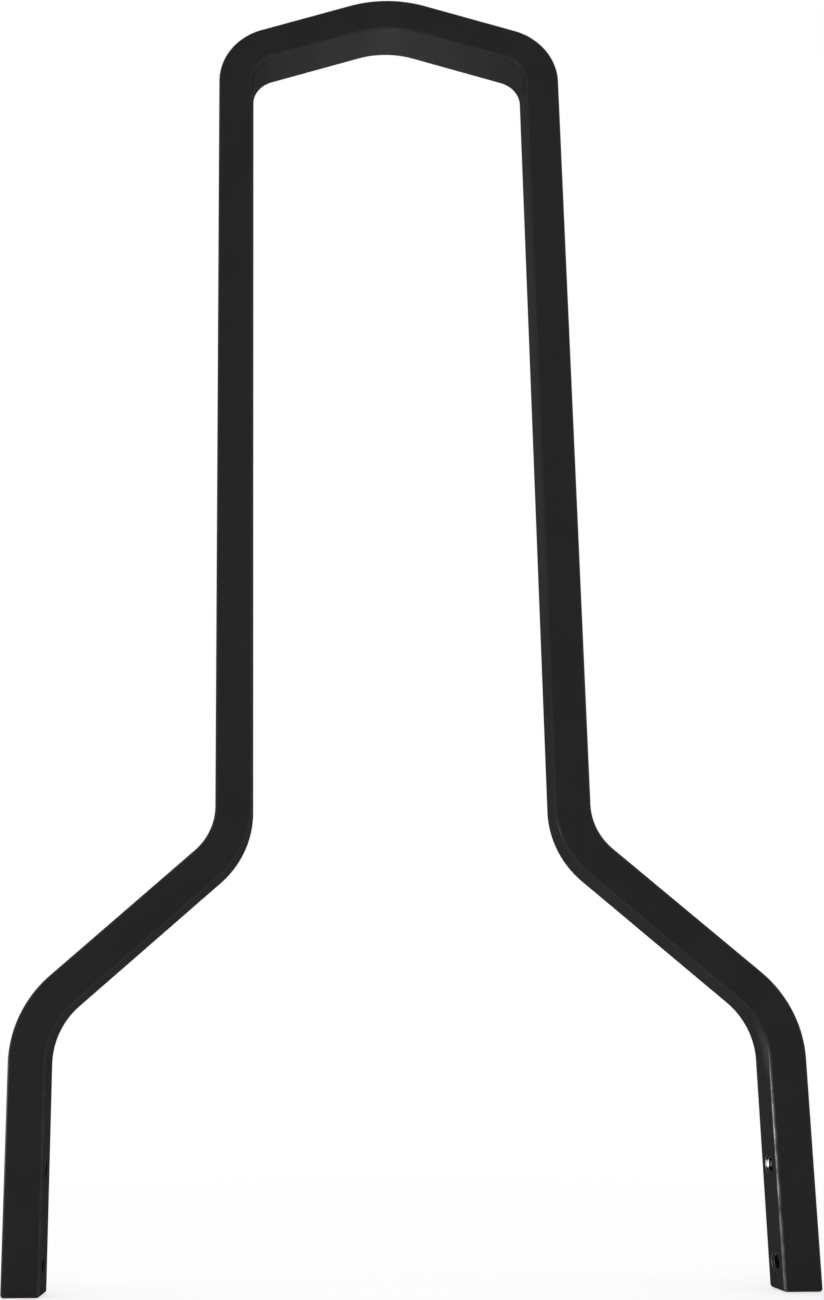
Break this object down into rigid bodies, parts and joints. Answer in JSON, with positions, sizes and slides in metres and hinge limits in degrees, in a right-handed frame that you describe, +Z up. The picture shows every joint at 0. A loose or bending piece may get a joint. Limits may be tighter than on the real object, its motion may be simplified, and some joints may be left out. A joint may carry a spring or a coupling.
{
  "type": "sissy bar",
  "caption": "Sissy bar: a passenger backrest hoop bent from solid square steel bar into a peaked arch, with flared legs tapped for mounting bolts, coated gloss black.",
  "frame": {"origin": "midway between the two foot ends, on their plane and in the middle of the bar's depth", "axes": "+X across the motorcycle to the right as seen from the front, +Y to the rear, +Z up along the uprights"},
  "size_m": [0.2652, 0.0126, 0.4794],
  "materials": {
    "black_coat": "gloss black powder coat",
    "bare_thread": "cut thread, dark with oil"
  },
  "bodies": {
    "root": {"sissy_bar": "black_coat"}
  },
  "joints": []
}
